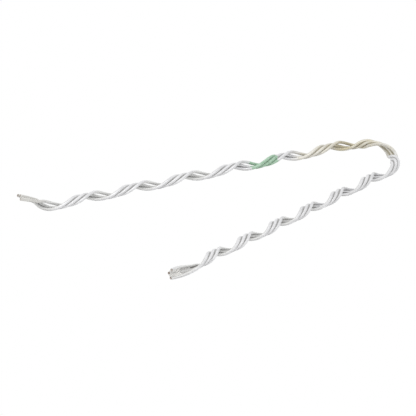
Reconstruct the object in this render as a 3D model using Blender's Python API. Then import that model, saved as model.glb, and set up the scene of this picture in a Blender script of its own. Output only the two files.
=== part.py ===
"""Preformed dead end grip: three springy wires formed side by side into one long open helix,
folded into a loop so that its two legs can be wrapped round the end of a strand.

Metres, +Z up. The grip lies flat as it would on a bench, with its lowest wires on Z = 0,
the loop towards +X and the free ends of the legs towards -X. The middle of its outline
in plan is the origin.
"""

import math

import bpy
from mathutils import Vector

# The wires
WIRE_COUNT = 3
WIRE_DIAMETER = 0.0037
WIRE_GAP = 0.0005  # clear space between two wires that lie side by side

# The helix that they are formed into
LONG_LEG_BORE = 0.0056  # clear width down the middle, a little under the strand's so that it grips
SHORT_LEG_BORE = 0.0059
LOOP_WIDENING = 0.0007  # by which the bore is wider halfway round the loop
LAY_LENGTH = 0.070  # one turn in the long leg, measured along the helix's axis
TIGHT_BEND_LAY = 0.0607
WIDE_BEND_LAY = 0.0790
SHORT_LEG_LAY = 0.0660
START_TURN = 0.941  # where the middle wire starts at the long leg's end, in turns from the top

# The free ends, where the wires run out nearly straight
LONG_LEG_END_LENGTH = 0.0275
LONG_LEG_END_LAY = 0.246
SHORT_LEG_END_LENGTH = 0.0517
SHORT_LEG_END_LAY = 0.166
MOUTH_LENGTH = 0.0576  # the short leg's bore starts to widen this far from its end
MOUTH_TAPER = 0.0183  # and is fully open after this much
MOUTH_BORE = 0.0086

# How the wires fan out, blending from one leg to the other round the loop
LONG_LEG_FANNING = math.radians(7.0)  # the first wire stands this much further round
SHORT_LEG_FANNING = math.radians(2.0)  # and here both outer wires do
FIRST_WIRE_RISE = 0.0007  # along the long leg the first wire rides a little high
THIRD_WIRE_DROP = 0.0005  # and along the short leg the third one hangs a little low

# The route of the helix's axis, seen from above
LONG_LEG_LENGTH = 0.4752
SHORT_LEG_LENGTH = 0.4536
LEG_SPREAD = math.radians(23.0)  # angle between the two legs
TIGHT_BEND_RADIUS = 0.0233  # the loop turns sharply off the long leg
TIGHT_BEND_ANGLE = math.radians(70.2)
WIDE_BEND_RADIUS = 0.0757  # and comes round gently into the short one

# The last stretch of the long leg is bent up clear of the bench
TAIL_LENGTH = 0.0504
TAIL_BEND_RADIUS = 0.040
TAIL_BEND_ANGLE = math.radians(23.5)

# Fineness of the swept wires
POINTS_PER_TURN = 16
WIRE_SIDE_COUNT = 8

GALVANISED_STEEL = (0.74, 0.75, 0.74, 1.0)


def clear_scene():
    for obj in list(bpy.data.objects):
        bpy.data.objects.remove(obj, do_unlink=True)


def wire_material():
    material = bpy.data.materials.new("galvanised_steel_wire")
    material.use_nodes = True
    surface = material.node_tree.nodes["Principled BSDF"]
    surface.inputs["Base Color"].default_value = GALVANISED_STEEL
    surface.inputs["Metallic"].default_value = 0.9
    surface.inputs["Roughness"].default_value = 0.42
    return material


def stretches():
    """The route as (length, turn to the right, lay length) from the long leg's free end."""
    wide_angle = math.pi - LEG_SPREAD - TIGHT_BEND_ANGLE
    return (
        (LONG_LEG_END_LENGTH, 0.0, LONG_LEG_END_LAY),
        (LONG_LEG_LENGTH - LONG_LEG_END_LENGTH, 0.0, LAY_LENGTH),
        (TIGHT_BEND_RADIUS * TIGHT_BEND_ANGLE, TIGHT_BEND_ANGLE, TIGHT_BEND_LAY),
        (WIDE_BEND_RADIUS * wide_angle, wide_angle, WIDE_BEND_LAY),
        (SHORT_LEG_LENGTH - SHORT_LEG_END_LENGTH, 0.0, SHORT_LEG_LAY),
        (SHORT_LEG_END_LENGTH, 0.0, SHORT_LEG_END_LAY),
    )


def route_length():
    return sum(length for length, _, _ in stretches())


def advance(point, heading, distance, turn):
    """Moves along a straight or an arc that turns right by the given angle."""
    if turn == 0.0:
        return point + distance * Vector((math.cos(heading), math.sin(heading), 0.0))
    radius = distance / turn
    centre = point + radius * Vector((math.sin(heading), -math.cos(heading), 0.0))
    new = heading - turn
    return centre + radius * Vector((-math.sin(new), math.cos(new), 0.0))


def tail_at(distance):
    """How far the tail's axis has moved back along the leg and up, and its slope there."""
    along = max(TAIL_LENGTH - distance, 0.0)
    bent = min(along, TAIL_BEND_RADIUS * TAIL_BEND_ANGLE)
    slope = bent / TAIL_BEND_RADIUS
    back = TAIL_BEND_RADIUS * math.sin(slope) + (along - bent) * math.cos(slope)
    rise = TAIL_BEND_RADIUS * (1.0 - math.cos(slope)) + (along - bent) * math.sin(slope)
    return along - back, rise, slope


def axis_at(distance):
    """Point on the helix's axis, the directions beside and above it and the turns so far."""
    point, heading, turns = Vector((0.0, 0.0, 0.0)), -LEG_SPREAD / 2, 0.0
    left = distance
    for length, turn, lay in stretches():
        step = min(left, length)
        point = advance(point, heading, step, turn * step / length)
        heading -= turn * step / length
        turns += step / lay
        left -= step
        if left <= 0.0:
            break
    ahead = Vector((math.cos(heading), math.sin(heading), 0.0))
    side = Vector((-math.sin(heading), math.cos(heading), 0.0))
    up = Vector((0.0, 0.0, 1.0))
    drawn_in, rise, slope = tail_at(distance)
    point += drawn_in * ahead + rise * up
    return point, side, math.cos(slope) * up + math.sin(slope) * ahead, turns


def smooth_step(part):
    part = min(max(part, 0.0), 1.0)
    return part * part * (3.0 - 2.0 * part)


def round_the_loop(distance):
    """Goes smoothly from 0 at the end of the long leg to 1 at the start of the short one."""
    loop_length = route_length() - LONG_LEG_LENGTH - SHORT_LEG_LENGTH
    return smooth_step((distance - LONG_LEG_LENGTH) / loop_length)


def helix_radius(distance):
    """From the helix's axis to the middle of a wire."""
    opened = smooth_step((distance - route_length() + MOUTH_LENGTH) / MOUTH_TAPER)
    blend = round_the_loop(distance)
    bore = LONG_LEG_BORE + blend * (SHORT_LEG_BORE - LONG_LEG_BORE)
    bore += 4.0 * blend * (1.0 - blend) * LOOP_WIDENING
    return (bore + opened * (MOUTH_BORE - SHORT_LEG_BORE) + WIRE_DIAMETER) / 2


def wire_spacing():
    """Angle round the helix from one wire to the next, so that WIRE_GAP stays between them."""
    radius = (LONG_LEG_BORE + WIRE_DIAMETER) / 2
    lay_angle = math.atan(2 * math.pi * radius / SHORT_LEG_LAY)
    across = (WIRE_DIAMETER + WIRE_GAP) / math.cos(lay_angle)
    return 2 * math.asin(across / (2 * radius))


def wire_place(distance, place):
    """Angle of a wire from the middle one and its lift; place is -1, 0 or 1 across the band."""
    blend = round_the_loop(distance)
    long_leg_angle = place * wire_spacing() + min(place, 0) * LONG_LEG_FANNING
    short_leg_angle = place * (wire_spacing() + SHORT_LEG_FANNING)
    angle = long_leg_angle + blend * (short_leg_angle - long_leg_angle)
    rise = max(-place, 0) * FIRST_WIRE_RISE * (1.0 - blend)
    return angle, rise - max(place, 0) * THIRD_WIRE_DROP * blend


def wire_point(distance, place):
    """Middle of a wire in a left-hand helix."""
    point, side, up, turns = axis_at(distance)
    offset, lift = wire_place(distance, place)
    angle = offset + 2 * math.pi * (turns + START_TURN)
    radius = helix_radius(distance)
    return point + lift * up + radius * (math.cos(angle) * up + math.sin(angle) * side)


def make_wire(name, place, material):
    length = route_length()
    count = round(length / LAY_LENGTH * POINTS_PER_TURN) + 1
    curve = bpy.data.curves.new(name, "CURVE")
    curve.dimensions = "3D"
    curve.bevel_depth = WIRE_DIAMETER / 2
    curve.bevel_resolution = (WIRE_SIDE_COUNT - 4) // 2
    curve.use_fill_caps = True
    spline = curve.splines.new("POLY")
    spline.points.add(count - 1)
    for i, point in enumerate(spline.points):
        point.co = (*wire_point(length * i / (count - 1), place), 1.0)
    spline.use_smooth = True
    curve.materials.append(material)
    wire = bpy.data.objects.new(name, curve)
    bpy.context.scene.collection.objects.link(wire)
    return wire


def outline_box(wires):
    """Lowest and highest corner of the swept wires, in world space."""
    bpy.context.view_layer.update()
    graph = bpy.context.evaluated_depsgraph_get()
    points = []
    for wire in wires:
        swept = wire.evaluated_get(graph)
        points += [swept.matrix_world @ vertex.co for vertex in swept.to_mesh().vertices]
        swept.to_mesh_clear()
    low = [min(point[axis] for point in points) for axis in range(3)]
    high = [max(point[axis] for point in points) for axis in range(3)]
    return low, high


def lay_flat(wires):
    """Parents the wires to one empty and moves it: outline centred in plan, lowest wire on Z = 0."""
    grip = bpy.data.objects.new("grip", None)
    bpy.context.scene.collection.objects.link(grip)
    for wire in wires:
        wire.parent = grip
    low, high = outline_box(wires)
    grip.location = (-(low[0] + high[0]) / 2, -(low[1] + high[1]) / 2, -low[2])
    bpy.context.view_layer.update()


def build():
    clear_scene()
    material = wire_material()
    middle = (WIRE_COUNT - 1) / 2
    wires = [make_wire(f"wire_{i + 1}", i - middle, material) for i in range(WIRE_COUNT)]
    lay_flat(wires)


build()
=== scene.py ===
"""A preformed dead end grip: three galvanised wires formed into one open left-hand helix and
folded into a loop. The wires are swept finely over the plain solids and given their finish:
zinc, the straw stain round the loop, the painted crossover mark and the gritty lining.
"""

import math

import bpy
import numpy as np
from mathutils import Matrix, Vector, noise as solid_noise


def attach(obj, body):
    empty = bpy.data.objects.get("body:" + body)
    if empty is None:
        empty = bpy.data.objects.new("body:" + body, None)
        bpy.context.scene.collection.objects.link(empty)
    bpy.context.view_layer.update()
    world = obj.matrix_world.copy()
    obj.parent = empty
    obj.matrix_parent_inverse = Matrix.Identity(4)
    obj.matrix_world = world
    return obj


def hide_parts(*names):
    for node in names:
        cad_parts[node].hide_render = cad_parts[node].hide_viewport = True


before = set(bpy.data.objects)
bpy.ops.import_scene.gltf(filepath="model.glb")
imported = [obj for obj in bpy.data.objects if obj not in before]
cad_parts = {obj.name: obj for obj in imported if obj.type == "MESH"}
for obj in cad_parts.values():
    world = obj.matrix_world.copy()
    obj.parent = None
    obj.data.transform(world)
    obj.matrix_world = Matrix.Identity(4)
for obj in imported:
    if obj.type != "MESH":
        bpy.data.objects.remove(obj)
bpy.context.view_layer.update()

# The wires and the helix as the solids have them, in metres
WIRE_COUNT = 3
WIRE_DIAMETER = 0.0037
WIRE_GAP = 0.0005  # clear space between two wires that lie side by side
LONG_LEG_BORE = 0.0056
SHORT_LEG_BORE = 0.0059
LOOP_WIDENING = 0.0007  # by which the bore is wider halfway round the loop
LAY_LENGTH = 0.070  # one turn in the long leg, measured along the helix's axis
TIGHT_BEND_LAY = 0.0607
WIDE_BEND_LAY = 0.0790
SHORT_LEG_LAY = 0.0660
START_TURN = 0.941  # where the middle wire starts at the long leg's end, in turns from the top
LONG_LEG_END_LENGTH = 0.0275
LONG_LEG_END_LAY = 0.246
SHORT_LEG_END_LENGTH = 0.0517
SHORT_LEG_END_LAY = 0.166
MOUTH_LENGTH = 0.0576  # the short leg's bore starts to widen this far from its end
MOUTH_TAPER = 0.0183  # and is fully open after this much
MOUTH_BORE = 0.0086
LONG_LEG_FANNING = math.radians(7.0)  # the first wire stands this much further round
SHORT_LEG_FANNING = math.radians(2.0)  # and here both outer wires do
FIRST_WIRE_RISE = 0.0007  # along the long leg the first wire rides a little high
THIRD_WIRE_DROP = 0.0005  # and along the short leg the third one hangs a little low
LONG_LEG_LENGTH = 0.4752
SHORT_LEG_LENGTH = 0.4536
LEG_SPREAD = math.radians(23.0)
TIGHT_BEND_RADIUS = 0.0233
TIGHT_BEND_ANGLE = math.radians(70.2)
WIDE_BEND_RADIUS = 0.0757
WIDE_BEND_ANGLE = math.pi - LEG_SPREAD - TIGHT_BEND_ANGLE
TAIL_LENGTH = 0.0504  # the last stretch of the long leg is bent up clear of the bench
TAIL_BEND_RADIUS = 0.040
TAIL_BEND_ANGLE = math.radians(23.5)
GRIP_START = Vector((-0.234796, 0.142781, 0.007951))  # the helix's axis at the long leg's end

# Where things lie along the route, measured from the long leg's free end
LOOP_START = LONG_LEG_LENGTH
TIGHT_BEND_END = LOOP_START + TIGHT_BEND_RADIUS * TIGHT_BEND_ANGLE
LOOP_END = TIGHT_BEND_END + WIDE_BEND_RADIUS * WIDE_BEND_ANGLE
ROUTE_LENGTH = LOOP_END + SHORT_LEG_LENGTH
HANDLED_END = 0.040  # the long leg is dull from handling up to about here
LINING_END = 0.300  # the long leg is lined with grit from its free end up to here
MARK_START = 0.333
MARK_END = 0.369
STAIN_START = 0.400
DEEP_STAIN_START = 0.450
DEEP_STAIN_END = 0.514
STAIN_END = 0.548
SHORT_LINING_START = ROUTE_LENGTH - 0.300  # the short leg is lined from here to its free end
MOUTH_START = ROUTE_LENGTH - 0.0665  # the glue is paler from here on
THROAT_START = ROUTE_LENGTH - 0.054  # the glue between these two is coloured near black, a painted deep shadow
THROAT_END = ROUTE_LENGTH - 0.040
MOUTH_LUMPS_START = ROUTE_LENGTH - 0.019  # thick pale lumps lie from here to the end
MOUTH_GLUE_END = ROUTE_LENGTH - 0.010
NEAR_SIDE_TURN = 0.90  # where the first two wires cross the near side, in turns from the top
NEAR_GLUE_BEFORE = 0.28  # the glue between them shows from this many turns before that
NEAR_GLUE_AFTER = 0.16  # to this many after it

# Fineness of the swept wires and of the strips of glue between them
RINGS_PER_TURN = 60
WIRE_SIDES = 20
STRIP_STEPS = 12
STRIP_RING_GAP = 0.0006
FEWEST_STRIP_RINGS = 8

# Each cut end is a little rounded over, as a shear leaves it
CUT_EDGE_WIDTH = 0.86  # as a share of the wire's
CUT_EDGE_LENGTH = 0.0006

# The lumps of the glue, in cells to a metre and shares of a strip's lump height
LUMP_SCALE = 700.0
FINE_LUMP_SCALE = 1900.0
FINE_LUMP_WEIGHT = 0.6
LUMP_SWELL = 0.2  # how far they stand out towards the bore on the whole

# How softly each finish ends along a wire, and how strong the deep stain is
HANDLED_FADE = 0.020
STAIN_FADE = 0.012
DEEP_STAIN_FADE = 0.015
DEEP_STAIN_STRENGTH = 0.8
LINING_FADE = 0.010
MARK_FADE = 0.0007

# Places round a wire's section, in turns from the middle of the side that faces the bore
SHADED_GRIMY_SIDES = (0.16, 0.31)  # darker here, next to the other wires: grime with painted shade
SIDE_GRIME_AND_SHADE_FADE = 0.05
LINING_EDGE = (0.17, 0.24)  # the lining thins out from the first to the second
DEEPEST_LINING = 0.17  # and is shaded in the middle, less and less up to here
STAIN_EDGE = (0.20, 0.33)  # the deep stain grows fainter from the first to the second

# Noise and grains on the wires, in cells to a metre
CLOUD_SCALE = 90.0
BLOOM_SCALE = 1100.0
SIDE_GRIME_AND_SHADE_SCALE = 260.0
DIMPLE_SCALE = 480.0
SHEEN_SCALE = 300.0
STAIN_SCALE = 120.0
PAINT_SCALE = 240.0
LINING_GRAIN_SCALE = 1500.0
RAGGED_SCALE = 160.0
RAGGED_WIDTH = 0.020  # the ends of the dull, stained and lined stretches wander this far
MARK_EDGE_SCALE = 420.0
MARK_EDGE_WIDTH = 0.006
LINES_ALONG = 130.0
LINES_ROUND = 26.0  # in cells to a turn, so that the drawn lines are long and thin

# The wires' sheen
ZINC_METALLIC = 0.45
ZINC_ROUGHNESS = (0.38, 0.52)
LINING_ROUGHNESS = 0.92
PAINT_ROUGHNESS = 0.50

# The glue's and the cut ends' noise and grains, in cells to a metre
GLUE_SCALE = 650.0
GLUE_GRAIN_SCALE = 1700.0
RUST_SCALE = 500.0
SHEARED_SCALE = 1500.0

# The finishes' colours
DULL_ZINC = (0.60, 0.60, 0.61)
BRIGHT_ZINC = (0.71, 0.71, 0.72)
ZINC_BLOOM = (0.80, 0.80, 0.80)
DRAWN_LINE = (0.50, 0.50, 0.51)
SIDE_GRIME_AND_SHADE = (0.40, 0.395, 0.375)
NICK = (0.33, 0.325, 0.32)
HANDLED_TINT = (0.86, 0.85, 0.80)
STRAW_TINT = (0.93, 0.89, 0.76)
DEEP_STRAW = (0.40, 0.35, 0.20)
LINING_TOP = (0.72, 0.72, 0.71)
LINING_HOLLOW = (0.60, 0.60, 0.59)
DEEP_PAINT = (0.21, 0.36, 0.24)
THIN_PAINT = (0.33, 0.49, 0.36)
CUT_STEEL = (0.54, 0.52, 0.49)
RUST = (0.20, 0.155, 0.125)
# Glue by a strip's first word: its material, colour on and between lumps, bore side's brightness
# as painted shade
GRITS = {
    "leg": ("glued_grit", (0.44, 0.44, 0.435), (0.29, 0.29, 0.285), 0.55),
    "mouth": ("mouth_grit", (0.66, 0.655, 0.64), (0.42, 0.415, 0.40), 0.85),
    # the throat's near-black glue is a painted deep shadow
    "throat": ("throat_grit", (0.16, 0.155, 0.15), (0.08, 0.075, 0.07), 1.0),
    "end": ("pale_grit", (0.88, 0.875, 0.85), (0.68, 0.67, 0.64), 1.0),
    "stain": ("stained_grit", (0.54, 0.49, 0.36), (0.38, 0.34, 0.23), 0.8),
    "mark": ("painted_grit", (0.20, 0.33, 0.23), (0.14, 0.24, 0.16), 1.0),
}
GRIT_SPECK = (0.16, 0.155, 0.15)

# The camera, as the photograph was taken
IMAGE_SIZE = 416
SENSOR_WIDTH = 36.0  # in millimetres, as Blender has it
VIEW_AZIMUTH = math.radians(-46.87)
VIEW_ELEVATION = math.radians(18.01)
VIEW_DISTANCE = 8.582
FOCAL_PIXELS = 6922.6
# Where the axes of the two legs would meet: along the long leg's axis, and in the picture
LEGS_CROSSING_RUN = LONG_LEG_LENGTH + 0.2407
LEGS_CROSSING_PIXEL = (508.05, 106.78)
LEGS_CROSSING = GRIP_START + LEGS_CROSSING_RUN * Vector(
    (math.cos(LEG_SPREAD / 2), -math.sin(LEG_SPREAD / 2), 0.0))

# The studio
WHITE = (1.0, 1.0, 1.0, 1.0)
FLOOR_GREY = 0.86
FLOOR_HALF_WIDTH = 6.0
TENT_LOW = 0.98
TENT_HIGH = 1.08
SOFTBOXES = (  # name, place, size, watts
    ("key_softbox", (-0.5, -0.5, 1.7), 1.4, 13.0),
)


# The route of the wires

def stretches():
    """The route as (length, turn to the right, lay length) from the long leg's free end."""
    return (
        (LONG_LEG_END_LENGTH, 0.0, LONG_LEG_END_LAY),
        (LONG_LEG_LENGTH - LONG_LEG_END_LENGTH, 0.0, LAY_LENGTH),
        (TIGHT_BEND_RADIUS * TIGHT_BEND_ANGLE, TIGHT_BEND_ANGLE, TIGHT_BEND_LAY),
        (WIDE_BEND_RADIUS * WIDE_BEND_ANGLE, WIDE_BEND_ANGLE, WIDE_BEND_LAY),
        (SHORT_LEG_LENGTH - SHORT_LEG_END_LENGTH, 0.0, SHORT_LEG_LAY),
        (SHORT_LEG_END_LENGTH, 0.0, SHORT_LEG_END_LAY),
    )


def advance(point, heading, distance, turn):
    """Moves along a straight or an arc that turns right by the given angle."""
    if turn == 0.0:
        return point + distance * Vector((math.cos(heading), math.sin(heading), 0.0))
    radius = distance / turn
    centre = point + radius * Vector((math.sin(heading), -math.cos(heading), 0.0))
    new = heading - turn
    return centre + radius * Vector((-math.sin(new), math.cos(new), 0.0))


def tail_at(distance):
    """How far the tail's axis has moved back along the leg and up, and its slope there."""
    along = max(TAIL_LENGTH - distance, 0.0)
    bent = min(along, TAIL_BEND_RADIUS * TAIL_BEND_ANGLE)
    slope = bent / TAIL_BEND_RADIUS
    back = TAIL_BEND_RADIUS * math.sin(slope) + (along - bent) * math.cos(slope)
    rise = TAIL_BEND_RADIUS * (1.0 - math.cos(slope)) + (along - bent) * math.sin(slope)
    return along - back, rise, slope


def axis_at(distance):
    """Point on the helix's axis, the directions beside and above it and the turns so far."""
    point, heading, turns = GRIP_START.copy(), -LEG_SPREAD / 2, 0.0
    left = distance
    for length, turn, lay in stretches():
        step = min(left, length)
        point = advance(point, heading, step, turn * step / length)
        heading -= turn * step / length
        turns += step / lay
        left -= step
        if left <= 0.0:
            break
    ahead = Vector((math.cos(heading), math.sin(heading), 0.0))
    side = Vector((-math.sin(heading), math.cos(heading), 0.0))
    up = Vector((0.0, 0.0, 1.0))
    drawn_in, rise, slope = tail_at(distance)
    point += drawn_in * ahead + rise * up
    return point, side, math.cos(slope) * up + math.sin(slope) * ahead, turns


def smooth_step(part):
    part = min(max(part, 0.0), 1.0)
    return part * part * (3.0 - 2.0 * part)


def round_the_loop(distance):
    """Goes smoothly from 0 at the end of the long leg to 1 at the start of the short one."""
    return smooth_step((distance - LOOP_START) / (LOOP_END - LOOP_START))


def helix_radius(distance):
    """From the helix's axis to the middle of a wire."""
    opened = smooth_step((distance - ROUTE_LENGTH + MOUTH_LENGTH) / MOUTH_TAPER)
    blend = round_the_loop(distance)
    bore = LONG_LEG_BORE + blend * (SHORT_LEG_BORE - LONG_LEG_BORE)
    bore += 4.0 * blend * (1.0 - blend) * LOOP_WIDENING
    return (bore + opened * (MOUTH_BORE - SHORT_LEG_BORE) + WIRE_DIAMETER) / 2


def wire_spacing():
    """Angle round the helix from one wire to the next, so that WIRE_GAP stays between them."""
    radius = (LONG_LEG_BORE + WIRE_DIAMETER) / 2
    lay_angle = math.atan(2 * math.pi * radius / SHORT_LEG_LAY)
    across = (WIRE_DIAMETER + WIRE_GAP) / math.cos(lay_angle)
    return 2 * math.asin(across / (2 * radius))


def wire_place(distance, place):
    """Angle of a wire from the middle one and its lift; place is -1, 0 or 1 across the band."""
    blend = round_the_loop(distance)
    long_leg_angle = place * wire_spacing() + min(place, 0) * LONG_LEG_FANNING
    short_leg_angle = place * (wire_spacing() + SHORT_LEG_FANNING)
    angle = long_leg_angle + blend * (short_leg_angle - long_leg_angle)
    rise = max(-place, 0) * FIRST_WIRE_RISE * (1.0 - blend)
    return angle, rise - max(place, 0) * THIRD_WIRE_DROP * blend


def wire_middle(run, place):
    """The wire's middle at this distance along the route and the direction out of the bore."""
    point, side, up, turns = axis_at(run)
    offset, lift = wire_place(run, place)
    angle = offset + 2 * math.pi * (turns + START_TURN)
    out = math.cos(angle) * up + math.sin(angle) * side
    return point + lift * up + helix_radius(run) * out, out


def wire_path(place):
    """Distances along the route, the wire's middle there and the direction out of the bore."""
    count = round(ROUTE_LENGTH / LAY_LENGTH * RINGS_PER_TURN) + 1
    runs = np.linspace(0.0, ROUTE_LENGTH, count)
    middles, outwards = [], []
    for run in runs.tolist():
        middle, out = wire_middle(run, place)
        middles.append(middle)
        outwards.append(out)
    return runs, np.array(middles), np.array(outwards)


def crossing_run(turn):
    """Where along the long leg the first two wires cross its near side for this turn."""
    turns = turn + NEAR_SIDE_TURN - START_TURN - LONG_LEG_END_LENGTH / LONG_LEG_END_LAY
    return LONG_LEG_END_LENGTH + turns * LAY_LENGTH


# Sweeping a wire

def add_object(name, data):
    added = bpy.data.objects.new(name, data)
    bpy.context.scene.collection.objects.link(added)
    return added


def unit(vectors):
    return vectors / np.linalg.norm(vectors, axis=-1, keepdims=True)


def wire_rings(place):
    """Distances along the route and a ring of points round the wire at each of them."""
    runs, middles, outwards = wire_path(place)
    along = unit(np.gradient(middles, axis=0))
    out = unit(outwards - (outwards * along).sum(1, keepdims=True) * along)
    across = np.cross(out, along)
    angles = np.linspace(0.0, 2 * math.pi, WIRE_SIDES, endpoint=False)
    radii = np.full(len(runs), WIRE_DIAMETER / 2)
    radii[[0, -1]] *= CUT_EDGE_WIDTH
    middles[0] = middles[1] - along[1] * CUT_EDGE_LENGTH
    middles[-1] = middles[-2] + along[-2] * CUT_EDGE_LENGTH
    rings = middles[:, None] + radii[:, None, None] * (
        np.cos(angles)[None, :, None] * out[:, None]
        + np.sin(angles)[None, :, None] * across[:, None]
    )
    return runs, rings


def wire_uvs(runs):
    """For each corner of the side faces and then of the two ends: metres along, turns round."""
    shape = len(runs) - 1, WIRE_SIDES
    round_at = np.arange(WIRE_SIDES) / WIRE_SIDES
    low = np.broadcast_to(round_at, shape)
    high = low + 1.0 / WIRE_SIDES
    start = np.broadcast_to(runs[:-1, None], shape)
    end = np.broadcast_to(runs[1:, None], shape)
    corners = np.stack(
        [np.stack([start, low], -1), np.stack([end, low], -1),
         np.stack([end, high], -1), np.stack([start, high], -1)], axis=2
    ).reshape(-1, 2)
    ends = [np.stack([np.full(WIRE_SIDES, run), round_at], -1) for run in (runs[0], runs[-1])]
    return np.concatenate([corners, *ends])


def swept_wire(name, place, material, cut_material):
    """A closed round tube along the wire."""
    runs, rings = wire_rings(place)
    index = np.arange(len(runs) * WIRE_SIDES).reshape(len(runs), WIRE_SIDES)
    beside = np.roll(index, -1, axis=1)
    quads = np.stack([index[:-1], index[1:], beside[1:], beside[:-1]], axis=-1).reshape(-1, 4)
    faces = quads.tolist() + [index[0].tolist(), index[-1][::-1].tolist()]
    mesh = bpy.data.meshes.new(name)
    mesh.from_pydata(rings.reshape(-1, 3).tolist(), [], faces)
    uv = mesh.uv_layers.new(name="along_and_round")
    uv.data.foreach_set("uv", wire_uvs(runs).astype(np.float32).ravel())
    mesh.materials.append(material)
    mesh.materials.append(cut_material)
    is_end = np.zeros(len(faces), bool)
    is_end[-2:] = True
    mesh.polygons.foreach_set("use_smooth", ~is_end)
    mesh.polygons.foreach_set("material_index", is_end.astype(np.int32))
    mesh.update()
    return add_object(name, mesh)


# The glue and grit between the wires

def near_glue_start(turn):
    return crossing_run(turn - NEAR_GLUE_BEFORE)


def near_glue_end(turn):
    return crossing_run(turn + NEAR_GLUE_AFTER)


def strip_rows():
    """Each strip's name, its first wire's place, its start, end, half thickness and lumps."""
    leg, near, mouth = (0.0006, 0.0003), (0.0005, 0.0003), (0.0006, 0.0005)
    return (
        ("leg_glue_a", 0, 0.002, MARK_START, *leg),
        ("mark_glue_a", 0, MARK_START, MARK_END, 0.0006, 0.0002),
        ("leg_glue_b", 0, MARK_END, STAIN_START, *leg),
        ("stain_glue_a", 0, STAIN_START, STAIN_END, *leg),
        *((f"leg_glue_near_{turn}", -1, near_glue_start(turn), near_glue_end(turn), *near)
          for turn in range(1, 5)),
        ("mark_glue_b", -1, near_glue_start(5), MARK_END, 0.0005, 0.0002),
        ("stain_glue_b", -1, near_glue_start(6), near_glue_end(6), *near),
        ("stain_glue_c", -1, near_glue_start(7), STAIN_END, *near),
        ("leg_glue_c", -1, STAIN_END, MOUTH_START, *leg),
        ("leg_glue_d", 0, STAIN_END, MOUTH_START, *leg),
        ("mouth_glue_a", -1, MOUTH_START, MOUTH_GLUE_END, *mouth),
        ("mouth_glue_b", 0, MOUTH_START, THROAT_START, *mouth),
        ("throat_glue", 0, THROAT_START, THROAT_END, *mouth),
        ("mouth_glue_c", 0, THROAT_END, MOUTH_GLUE_END, *mouth),
        ("end_glue_a", -1, 0.0015, 0.034, 0.0010, 0.0012),
        ("end_glue_b", -1, MOUTH_LUMPS_START, ROUTE_LENGTH - 0.0015, 0.0014, 0.0011),
        ("end_glue_c", 0, MOUTH_LUMPS_START, ROUTE_LENGTH - 0.0010, 0.0015, 0.0011),
    )


def roughness_at(point):
    fine = FINE_LUMP_WEIGHT * solid_noise.noise(point * FINE_LUMP_SCALE)
    return solid_noise.noise(point * LUMP_SCALE) + fine + LUMP_SWELL


def strip_ring(first, second, centre, half, lumps):
    """Points there and back between two wires' middles, first along the side next the bore."""
    across = second - first
    inward = centre - (first + second) / 2
    inward -= across * (inward.dot(across) / across.dot(across))
    inward.normalize()
    ring = []
    for side in (1, -1):
        for i in range(STRIP_STEPS):
            part = (i if side == 1 else STRIP_STEPS - i) / STRIP_STEPS
            point = first + across * part
            swell = half * (1.0 - abs(2 * part - 1) ** 6)
            lump = roughness_at(point) * lumps * swell / half
            ring.append(point + inward * (side * swell + lump))
    return ring


def lining_strip(name, place, start, end, half, lumps, material):
    """A closed rough strip from one wire's middle to the next one's."""
    count = max(round((end - start) / STRIP_RING_GAP), FEWEST_STRIP_RINGS)
    rings = [
        strip_ring(wire_middle(run, place)[0], wire_middle(run, place + 1)[0], axis_at(run)[0],
                   half, lumps)
        for run in np.linspace(start, end, count).tolist()
    ]
    size = len(rings[0])
    index = np.arange(count * size).reshape(count, size)
    beside = np.roll(index, -1, axis=1)
    quads = np.stack([index[:-1], beside[:-1], beside[1:], index[1:]], axis=-1).reshape(-1, 4)
    mesh = bpy.data.meshes.new(name)
    mesh.from_pydata([tuple(point) for ring in rings for point in ring], [],
                     quads.tolist() + [index[0][::-1].tolist(), index[-1].tolist()])
    bore_side = mesh.attributes.new("bore_side", "FLOAT", "POINT")
    inner = np.tile(np.arange(size) < size // 2, count)
    bore_side.data.foreach_set("value", inner.astype(np.float32))
    mesh.materials.append(material)
    mesh.polygons.foreach_set("use_smooth", np.ones(len(mesh.polygons), bool))
    mesh.update()
    return add_object(name, mesh)


# Small steps for building a finish out of nodes

def material_named(name):
    material = bpy.data.materials.new(name)
    material.use_nodes = True
    return material, material.node_tree, material.node_tree.nodes["Principled BSDF"]


def feed(tree, socket, value):
    """Links an output into this input, or writes a plain value on it."""
    if isinstance(value, bpy.types.NodeSocket):
        tree.links.new(value, socket)
    elif isinstance(value, (tuple, list)) and len(value) == 3 and socket.type == "RGBA":
        socket.default_value = (*value, 1.0)
    else:
        socket.default_value = value


def maths(tree, operation, first, second=0.0):
    node = tree.nodes.new("ShaderNodeMath")
    node.operation = operation
    for socket, value in zip(node.inputs, (first, second)):
        feed(tree, socket, value)
    return node.outputs[0]


def times(tree, *values):
    """The product of any number of masks."""
    product = values[0]
    for value in values[1:]:
        product = maths(tree, "MULTIPLY", product, value)
    return product


def remap(tree, value, low, high, to_low=0.0, to_high=1.0, smooth=False):
    """Takes low to to_low and high to to_high, and holds those values beyond."""
    node = tree.nodes.new("ShaderNodeMapRange")
    node.interpolation_type = "SMOOTHSTEP" if smooth else "LINEAR"
    for socket, item in zip(node.inputs, (value, low, high, to_low, to_high)):
        feed(tree, socket, item)
    return node.outputs[0]


def between(tree, value, start, end, soft):
    """1 between start and end, fading to 0 over twice the soft width at each."""
    rising = remap(tree, value, start - soft, start + soft, smooth=True)
    falling = remap(tree, value, end - soft, end + soft, 1.0, 0.0, smooth=True)
    return times(tree, rising, falling)


def mix(tree, factor, first, second, blend="MIX"):
    """The first colour, with the second laid over it as far as the factor says."""
    node = tree.nodes.new("ShaderNodeMix")
    node.data_type = "RGBA"
    node.blend_type = blend
    feed(tree, node.inputs["Factor"], factor)
    feed(tree, node.inputs[6], first)
    feed(tree, node.inputs[7], second)
    return node.outputs[2]


def blend_value(tree, factor, first, second):
    """Goes from the first value to the second as the factor goes from 0 to 1."""
    return remap(tree, factor, 0.0, 1.0, first, second)


def object_point(tree):
    return tree.nodes.new("ShaderNodeTexCoord").outputs["Object"]


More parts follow.
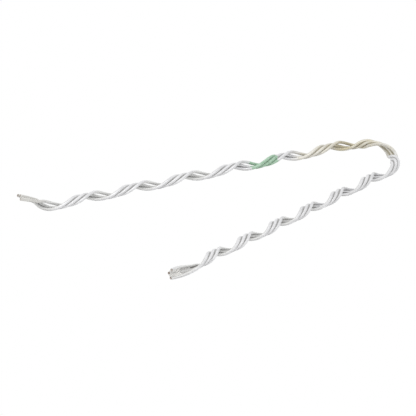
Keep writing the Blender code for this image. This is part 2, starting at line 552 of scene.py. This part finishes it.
def noise(tree, vector, scale, detail=3.0, roughness=0.5):
    node = tree.nodes.new("ShaderNodeTexNoise")
    feed(tree, node.inputs["Vector"], vector)
    node.inputs["Scale"].default_value = scale
    node.inputs["Detail"].default_value = detail
    node.inputs["Roughness"].default_value = roughness
    return node.outputs["Fac"]


def grains(tree, vector, scale):
    """Distance to the nearest of many scattered points: 0 on each grain's top."""
    node = tree.nodes.new("ShaderNodeTexVoronoi")
    feed(tree, node.inputs["Vector"], vector)
    node.inputs["Scale"].default_value = scale
    return node.outputs["Distance"]


def combined(tree, x, y, z=0.0):
    node = tree.nodes.new("ShaderNodeCombineXYZ")
    for socket, value in zip(node.inputs, (x, y, z)):
        feed(tree, socket, value)
    return node.outputs[0]


def combined_grey(tree, level):
    """A grey of this brightness."""
    return combined(tree, level, level, level)


def bumped(tree, height, strength, distance, under=None):
    node = tree.nodes.new("ShaderNodeBump")
    feed(tree, node.inputs["Height"], height)
    feed(tree, node.inputs["Strength"], strength)
    node.inputs["Distance"].default_value = distance
    if under is not None:
        feed(tree, node.inputs["Normal"], under)
    return node.outputs["Normal"]


# The wire's finish

def wire_places(tree):
    """Metres along the route, turns round the section (0 faces out of the bore) and the point."""
    uv = tree.nodes.new("ShaderNodeUVMap")
    uv.uv_map = "along_and_round"
    parts = tree.nodes.new("ShaderNodeSeparateXYZ")
    tree.links.new(uv.outputs["UV"], parts.inputs[0])
    return parts.outputs[0], parts.outputs[1], object_point(tree)


def uneven(tree, along, point, scale, width):
    """The distance along the route, shifted by noise so that an edge across the wire wanders."""
    shift = maths(tree, "SUBTRACT", noise(tree, point, scale), 0.5)
    return maths(tree, "ADD", along, maths(tree, "MULTIPLY", shift, width))


def zinc(tree, point, lengthwise, sides):
    """Hot-dip zinc: cloudy, faintly spangled, drawn lengthwise and darker between the wires, grime
    with painted shade.
    """
    cloud = noise(tree, point, CLOUD_SCALE, 4.0)
    colour = mix(tree, remap(tree, cloud, 0.35, 0.65), DULL_ZINC, BRIGHT_ZINC)
    lines = noise(tree, lengthwise, 1.0, 4.0, 0.65)
    colour = mix(tree, remap(tree, lines, 0.35, 0.65, 0.0, 0.45), colour, DRAWN_LINE)
    bloom = remap(tree, noise(tree, point, BLOOM_SCALE), 0.58, 0.70, 0.0, 0.6)
    colour = mix(tree, bloom, colour, ZINC_BLOOM)
    patches = remap(tree, noise(tree, point, SIDE_GRIME_AND_SHADE_SCALE), 0.3, 0.6, 0.10, 0.45)
    # the sides next to the other wires are darkened: grime with painted shade
    colour = mix(tree, times(tree, sides, patches), colour, SIDE_GRIME_AND_SHADE)
    nicks = remap(tree, noise(tree, lengthwise, 4.0, 5.0, 0.7), 0.66, 0.74, 0.0, 0.55)
    return mix(tree, nicks, colour, NICK), lines


def stained(tree, colour, ragged, inward, point):
    """The straw stain round the tight bend, brown where it has run inside."""
    patchy = remap(tree, noise(tree, point, STAIN_SCALE), 0.3, 0.7, 0.55, 1.0)
    tinted = between(tree, ragged, STAIN_START, STAIN_END, STAIN_FADE)
    colour = mix(tree, times(tree, tinted, patchy), colour, STRAW_TINT, "MULTIPLY")
    deep = between(tree, ragged, DEEP_STAIN_START, DEEP_STAIN_END, DEEP_STAIN_FADE)
    inner = remap(tree, inward, *STAIN_EDGE, 1.0, 0.40, smooth=True)
    strength = times(tree, deep, inner, patchy, DEEP_STAIN_STRENGTH)
    return mix(tree, strength, colour, DEEP_STRAW)


def lining_colour(tree, grit, inward):
    colour = mix(tree, remap(tree, grit, 0.1, 0.6), LINING_TOP, LINING_HOLLOW)
    shade = remap(tree, inward, 0.0, DEEPEST_LINING, 0.76, 1.0, smooth=True)
    return mix(tree, 1.0, colour, combined_grey(tree, shade), "MULTIPLY")


def wire_material():
    material, tree, surface = material_named("galvanised_wire")
    along, round_it, point = wire_places(tree)
    lengthwise = combined(tree, maths(tree, "MULTIPLY", along, LINES_ALONG),
                          maths(tree, "MULTIPLY", round_it, LINES_ROUND))
    # 0 on the side that faces the bore, 0.5 on the side that faces out of it
    inward = maths(tree, "ABSOLUTE", maths(tree, "SUBTRACT", round_it, 0.5))
    sides = between(tree, inward, *SHADED_GRIMY_SIDES, SIDE_GRIME_AND_SHADE_FADE)
    ragged = uneven(tree, along, point, RAGGED_SCALE, RAGGED_WIDTH)
    colour, lines = zinc(tree, point, lengthwise, sides)

    # The long leg's end has been handled and is dull and faintly brown
    handled = remap(tree, ragged, HANDLED_END - HANDLED_FADE, HANDLED_END + HANDLED_FADE,
                    1.0, 0.0, smooth=True)
    colour = mix(tree, handled, colour, HANDLED_TINT, "MULTIPLY")
    colour = stained(tree, colour, ragged, inward, point)

    # The gritty lining on the side that grips the strand
    facing_bore = remap(tree, inward, *LINING_EDGE, 1.0, 0.0, smooth=True)
    long_leg = remap(tree, ragged, LINING_END - LINING_FADE, LINING_END + LINING_FADE, 1.0, 0.0)
    short_leg = remap(tree, ragged, SHORT_LINING_START - LINING_FADE,
                      SHORT_LINING_START + LINING_FADE)
    lining = times(tree, maths(tree, "ADD", long_leg, short_leg), facing_bore)
    grit = grains(tree, point, LINING_GRAIN_SCALE)
    colour = mix(tree, lining, colour, lining_colour(tree, grit, inward))

    # The painted crossover mark, rubbed through in places
    edge = uneven(tree, along, point, MARK_EDGE_SCALE, MARK_EDGE_WIDTH)
    marked = between(tree, edge, MARK_START, MARK_END, MARK_FADE)
    rubbed = remap(tree, noise(tree, lengthwise, 1.7, 4.0, 0.7), 0.54, 0.64, 1.0, 0.25)
    paint = times(tree, marked, rubbed)
    shade = remap(tree, noise(tree, point, PAINT_SCALE), 0.3, 0.7)
    colour = mix(tree, paint, colour, mix(tree, shade, DEEP_PAINT, THIN_PAINT))

    feed(tree, surface.inputs["Base Color"], colour)
    covered = maths(tree, "MAXIMUM", paint, lining)
    feed(tree, surface.inputs["Metallic"], blend_value(tree, covered, ZINC_METALLIC, 0.0))
    bare = remap(tree, noise(tree, point, SHEEN_SCALE), 0.3, 0.7, *ZINC_ROUGHNESS)
    rough = blend_value(tree, lining, bare, LINING_ROUGHNESS)
    feed(tree, surface.inputs["Roughness"], blend_value(tree, paint, rough, PAINT_ROUGHNESS))
    drawn = bumped(tree, lines, 0.30, 0.00004)
    dimpled = bumped(tree, noise(tree, point, DIMPLE_SCALE), 0.25, 0.00010, drawn)
    gritty = bumped(tree, maths(tree, "SUBTRACT", 1.0, grit), times(tree, lining, 0.5), 0.0004,
                    dimpled)
    feed(tree, surface.inputs["Normal"], gritty)
    return material


def grit_material(name, light, dark, inner):
    """Hardened glue full of grit, paler on its lumps; inner is its painted-shade brightness
    towards the bore.
    """
    material, tree, surface = material_named(name)
    point = object_point(tree)
    lumps = noise(tree, point, GLUE_SCALE, 4.0, 0.6)
    colour = mix(tree, remap(tree, lumps, 0.35, 0.62), dark, light)
    grit = grains(tree, point, GLUE_GRAIN_SCALE)
    colour = mix(tree, remap(tree, grit, 0.30, 0.60, 0.0, 0.35), colour, GRIT_SPECK)
    # the side towards the bore is darkened by inner: painted shade
    bore_side = tree.nodes.new("ShaderNodeAttribute")
    bore_side.attribute_name = "bore_side"
    shade = combined_grey(tree, blend_value(tree, bore_side.outputs["Fac"], 1.0, inner))
    feed(tree, surface.inputs["Base Color"], mix(tree, 1.0, colour, shade, "MULTIPLY"))
    feed(tree, surface.inputs["Roughness"], remap(tree, grit, 0.1, 0.5, 0.75, 0.95))
    lumpy = bumped(tree, lumps, 0.4, 0.0005)
    feed(tree, surface.inputs["Normal"],
         bumped(tree, maths(tree, "SUBTRACT", 1.0, grit), 0.5, 0.0004, lumpy))
    return material


def cut_steel_material():
    """Sheared ends: dark bare steel with a little rust."""
    material, tree, surface = material_named("cut_steel")
    point = object_point(tree)
    rust = remap(tree, noise(tree, point, RUST_SCALE), 0.42, 0.56)
    feed(tree, surface.inputs["Base Color"], mix(tree, rust, CUT_STEEL, RUST))
    feed(tree, surface.inputs["Metallic"], blend_value(tree, rust, 0.7, 0.1))
    surface.inputs["Roughness"].default_value = 0.55
    sheared = noise(tree, point, SHEARED_SCALE)
    feed(tree, surface.inputs["Normal"], bumped(tree, sheared, 0.5, 0.0002))
    return material


# The stage

def only_seen_directly(tree, seen, unseen):
    """One shader for what the camera sees of a white surrounding and one for its light."""
    path = tree.nodes.new("ShaderNodeLightPath")
    choose = tree.nodes.new("ShaderNodeMixShader")
    tree.links.new(path.outputs["Is Camera Ray"], choose.inputs[0])
    tree.links.new(unseen, choose.inputs[1])
    tree.links.new(seen, choose.inputs[2])
    return choose.outputs[0]


def white_glow(tree):
    glow = tree.nodes.new("ShaderNodeEmission")
    glow.inputs["Color"].default_value = WHITE
    glow.inputs["Strength"].default_value = 1.0
    return glow.outputs[0]


def add_floor():
    mesh = bpy.data.meshes.new("floor")
    half = FLOOR_HALF_WIDTH
    mesh.from_pydata([(-half, -half, 0), (half, -half, 0), (half, half, 0), (-half, half, 0)],
                     [], [(0, 1, 2, 3)])
    floor = add_object("floor", mesh)
    material, tree, surface = material_named("pale_floor")
    surface.inputs["Base Color"].default_value = (FLOOR_GREY, FLOOR_GREY, FLOOR_GREY, 1.0)
    surface.inputs["Roughness"].default_value = 0.9
    surface.inputs["Specular IOR Level"].default_value = 0.0
    feed(tree, tree.nodes["Material Output"].inputs["Surface"],
         only_seen_directly(tree, white_glow(tree), surface.outputs[0]))
    mesh.materials.append(material)


def add_light():
    """A white tent, a little brighter overhead than low down, with a softbox."""
    world = bpy.data.worlds.new("studio")
    bpy.context.scene.world = world
    world.use_nodes = True
    tree = world.node_tree
    tent = tree.nodes["Background"]
    height = tree.nodes.new("ShaderNodeSeparateXYZ")
    tree.links.new(tree.nodes.new("ShaderNodeTexCoord").outputs["Generated"], height.inputs[0])
    level = remap(tree, height.outputs[2], 0.0, 0.9, TENT_LOW, TENT_HIGH, smooth=True)
    tent.inputs["Color"].default_value = WHITE
    feed(tree, tent.inputs["Strength"], level)
    seen = tree.nodes.new("ShaderNodeBackground")
    seen.inputs["Color"].default_value = WHITE
    feed(tree, tree.nodes["World Output"].inputs["Surface"],
         only_seen_directly(tree, seen.outputs[0], tent.outputs[0]))
    for name, place, size, power in SOFTBOXES:
        light = bpy.data.lights.new(name, "AREA")
        light.size = size
        light.energy = power
        lamp = add_object(name, light)
        lamp.location = place
        lamp.rotation_euler = (-Vector(place)).to_track_quat("-Z", "Y").to_euler()


def add_camera():
    """Places the camera so that the crossing of the legs' axes falls on its pixel."""
    azimuth, elevation = VIEW_AZIMUTH, VIEW_ELEVATION
    back = Vector((math.sin(azimuth) * math.cos(elevation),
                   -math.cos(azimuth) * math.cos(elevation), math.sin(elevation)))
    right = Vector((math.cos(azimuth), math.sin(azimuth), 0.0))
    up = back.cross(right)
    middle = (IMAGE_SIZE - 1) / 2
    aim = (-back + right * (middle - LEGS_CROSSING_PIXEL[0]) / FOCAL_PIXELS
           - up * (middle - LEGS_CROSSING_PIXEL[1]) / FOCAL_PIXELS)
    data = bpy.data.cameras.new("camera")
    data.sensor_width = SENSOR_WIDTH
    data.lens = FOCAL_PIXELS / IMAGE_SIZE * SENSOR_WIDTH
    data.clip_end = 100.0
    camera = add_object("camera", data)
    camera.location = LEGS_CROSSING + back * VIEW_DISTANCE
    camera.rotation_euler = aim.to_track_quat("-Z", "Y").to_euler()
    scene = bpy.context.scene
    scene.camera = camera
    scene.render.resolution_x = IMAGE_SIZE
    scene.render.resolution_y = IMAGE_SIZE
    scene.view_settings.view_transform = "Standard"


wire_finish = wire_material()
cut_finish = cut_steel_material()
for i in range(WIRE_COUNT):
    piece = swept_wire(f"formed_wire_{i + 1}", i - (WIRE_COUNT - 1) / 2, wire_finish, cut_finish)
    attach(piece, "root")
    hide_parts(f"wire_{i + 1}")
grits = {kind: grit_material(*finish) for kind, finish in GRITS.items()}
for name, *strip in strip_rows():
    piece = lining_strip(name, *strip, grits[name.split("_")[0]])
    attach(piece, "root")
add_floor()
add_light()
add_camera()
